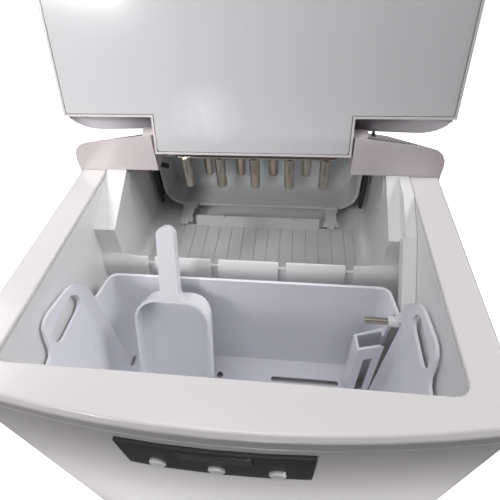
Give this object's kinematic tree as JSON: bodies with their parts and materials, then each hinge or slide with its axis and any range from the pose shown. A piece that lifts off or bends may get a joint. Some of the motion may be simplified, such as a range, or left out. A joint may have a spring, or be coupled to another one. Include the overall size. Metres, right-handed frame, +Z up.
{
  "type": "portable ice maker",
  "caption": "White portable ice maker with an open T-shaped lid, evaporator fingers over a tipped water tray, an ice basket, a scoop and an ice-level sensor.",
  "frame": {"origin": "centre of the whole box on the plane the feet stand on", "axes": "+X to the right seen from the front, +Y towards the rear, +Z up"},
  "size_m": [0.296, 0.3514, 0.5397],
  "materials": {
    "housing_white": "smooth moulded, soft gloss, faintly warm white",
    "liner_white": "smooth moulded, satin, cool white",
    "basket_white": "smooth moulded, satin, bluish white",
    "scoop_white": "smooth moulded, satin",
    "tray_grey": "smooth moulded, satin grey",
    "finger_steel": "bright nickel-plated, slightly warm",
    "copper_tube": "drawn copper",
    "fin_aluminium": "mill finish fins",
    "black_rubber": "matt",
    "black_plastic": "fine texture",
    "black_enamel": "semi-gloss enamel",
    "display_glass": "dark tinted window",
    "button_grey": "moulded, satin",
    "green_board": "solder-masked board"
  },
  "bodies": {
    "housing": {"front_panel": "housing_white", "side_panel_left": "housing_white", "side_panel_right": "housing_white", "rear_panel": "housing_white", "deck_frame": "housing_white", "rear_cover": "housing_white", "inner_liner": "liner_white", "reservoir_tank": "liner_white", "sensor_duct": "liner_white", "float_rod": "liner_white", "ice_slide": "tray_grey", "finger_1": "finger_steel", "finger_2": "finger_steel", "finger_3": "finger_steel", "finger_4": "finger_steel", "finger_5": "finger_steel", "finger_6": "finger_steel", "finger_7": "finger_steel", "finger_8": "finger_steel", "finger_9": "finger_steel", "sensor_pin": "finger_steel", "evaporator_plate": "finger_steel", "evaporator_tube": "copper_tube", "condenser": "fin_aluminium", "foot_front_left": "black_rubber", "foot_front_right": "black_rubber", "foot_rear_left": "black_rubber", "foot_rear_right": "black_rubber", "water_hose": "black_rubber", "return_hose": "black_rubber", "control_bezel": "black_plastic", "power_inlet": "black_plastic", "fan_shroud": "black_plastic", "tray_gear_motor": "black_plastic", "water_pump": "black_plastic", "compressor": "black_enamel", "base_pan": "black_enamel", "display_window": "display_glass", "control_board": "green_board"},
    "lid": {"lid_outer_shell": "housing_white", "lid_inner_panel": "liner_white", "hinge_pin_left": "finger_steel", "hinge_pin_right": "finger_steel"},
    "tray": {"water_tray": "tray_grey", "tray_pivot_pin": "finger_steel", "tray_drive_shaft": "finger_steel"},
    "clip_left": {"tray_clip_left": "tray_grey"},
    "clip_right": {"tray_clip_right": "tray_grey"},
    "basket": {"ice_basket": "basket_white"},
    "scoop": {"ice_scoop": "scoop_white"},
    "fan": {"fan_rotor": "black_plastic"},
    "float": {"level_float": "black_plastic"},
    "power_button": {"button_power": "button_grey"},
    "size_button": {"button_size": "button_grey"},
    "timer_button": {"button_timer": "button_grey"},
    "drain_plug": {"drain_cap": "black_plastic"}
  },
  "joints": [
    {"name": "lid_hinge", "type": "hinge", "parent": "housing", "child": "lid", "pos_m": [0, 0.0517, 0.3226], "axis": [-1, 0, 0], "range_deg": [-108.4, 0]},
    {"name": "tray_tilt", "type": "hinge", "parent": "housing", "child": "tray", "pos_m": [0, 0.0927, 0.281], "axis": [1, 0, 0], "range_deg": [-90, 0]},
    {"name": "clip_swing_left", "type": "hinge", "parent": "tray", "child": "clip_left", "pos_m": [-0.072, 0.0789, 0.2264], "axis": [1, 0, 0], "range_deg": [0, 115]},
    {"name": "clip_swing_right", "type": "hinge", "parent": "tray", "child": "clip_right", "pos_m": [0.072, 0.0789, 0.2264], "axis": [1, 0, 0], "range_deg": [0, 115]},
    {"name": "basket_lift", "type": "slide", "parent": "housing", "child": "basket", "axis": [0, 0, 1], "range_m": [0, 0.2]},
    {"name": "scoop_lift", "type": "slide", "parent": "basket", "child": "scoop", "axis": [0, 0, 1], "range_m": [0, 0.18]},
    {"name": "fan_spin", "type": "hinge", "parent": "housing", "child": "fan", "pos_m": [0.04, 0.1353, 0.104], "axis": [0, 1, 0], "continuous": true},
    {"name": "float_rise", "type": "slide", "parent": "housing", "child": "float", "axis": [0, 0, 1], "range_m": [0, 0.02]},
    {"name": "power_press", "type": "slide", "parent": "housing", "child": "power_button", "axis": [0, 1, 0], "range_m": [0, 0.0015], "stiffness_N_per_m": 400},
    {"name": "size_press", "type": "slide", "parent": "housing", "child": "size_button", "axis": [0, 1, 0], "range_m": [0, 0.0015], "stiffness_N_per_m": 400},
    {"name": "timer_press", "type": "slide", "parent": "housing", "child": "timer_button", "axis": [0, 1, 0], "range_m": [0, 0.0015], "stiffness_N_per_m": 400},
    {"name": "drain_plug_pull", "type": "slide", "parent": "housing", "child": "drain_plug", "axis": [-1, 0, 0], "range_m": [0, 0.02]}
  ],
  "couplings": [
    {"joint": "clip_swing_left", "follows": "tray_tilt", "ratio": -1.27},
    {"joint": "clip_swing_right", "follows": "tray_tilt", "ratio": -1.27}
  ]
}
